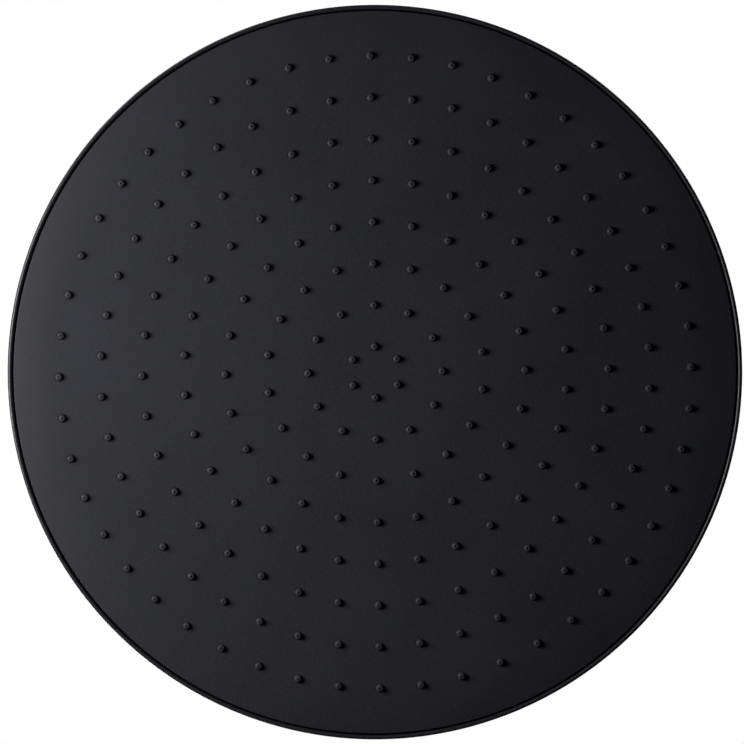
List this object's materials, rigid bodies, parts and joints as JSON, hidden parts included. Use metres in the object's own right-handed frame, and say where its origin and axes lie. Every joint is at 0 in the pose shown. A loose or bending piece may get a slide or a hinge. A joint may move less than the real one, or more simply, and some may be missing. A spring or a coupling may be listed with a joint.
{
  "type": "overhead shower head",
  "caption": "Large round matte black rain shower head with rings of soft nozzles, hung from a swivelling ball joint with a threaded inlet.",
  "frame": {"origin": "on the axis, at the mouth of the female inlet thread at the top of the ball connector", "axes": "+Z along the inlet axis, up towards the pipe; the spray face looks towards -Z; +X along the spoke on which every ring has a nozzle"},
  "size_m": [0.3, 0.3, 0.0706],
  "materials": {
    "black_coated_brass": "matte",
    "brass": "machined",
    "black_abs": "fine matte grain",
    "inner_abs": "plain moulded",
    "nozzle_silicone": "satin",
    "seal_rubber": "satin",
    "white_seat_plastic": "smooth",
    "regulator_plastic": "smooth",
    "stainless": "fine",
    "zinc_steel": "zinc plated"
  },
  "bodies": {
    "connector": {"ball_connector": "black_coated_brass", "inlet_washer": "seal_rubber", "filter_screen": "stainless", "flow_restrictor": "regulator_plastic", "restrictor_o_ring": "seal_rubber"},
    "slip_ring": {"slip_washer": "white_seat_plastic"},
    "ball_seat": {"seat_ring": "white_seat_plastic"},
    "head": {"ball_o_ring": "seal_rubber", "retaining_nut": "black_coated_brass", "ball_socket": "black_coated_brass", "hub_gasket": "seal_rubber", "back_shell": "black_abs", "chamber_plate": "inner_abs", "inlet_insert": "brass", "inlet_o_ring": "seal_rubber", "chamber_seal": "seal_rubber", "flow_spreader": "inner_abs", "nozzle_mat": "nozzle_silicone", "face_plate": "black_abs", "chamber_screws": "zinc_steel"}
  },
  "joints": [
    {"name": "tilt_x", "type": "hinge", "parent": "connector", "child": "slip_ring", "pos_m": [0, 0, -0.03099], "axis": [1, 0, 0], "range_deg": [-15, 15]},
    {"name": "tilt_y", "type": "hinge", "parent": "slip_ring", "child": "ball_seat", "pos_m": [0, 0, -0.03099], "axis": [0, 1, 0], "range_deg": [-15, 15]},
    {"name": "spin", "type": "hinge", "parent": "ball_seat", "child": "head", "pos_m": [0, 0, -0.03099], "axis": [0, 0, 1], "continuous": true}
  ]
}
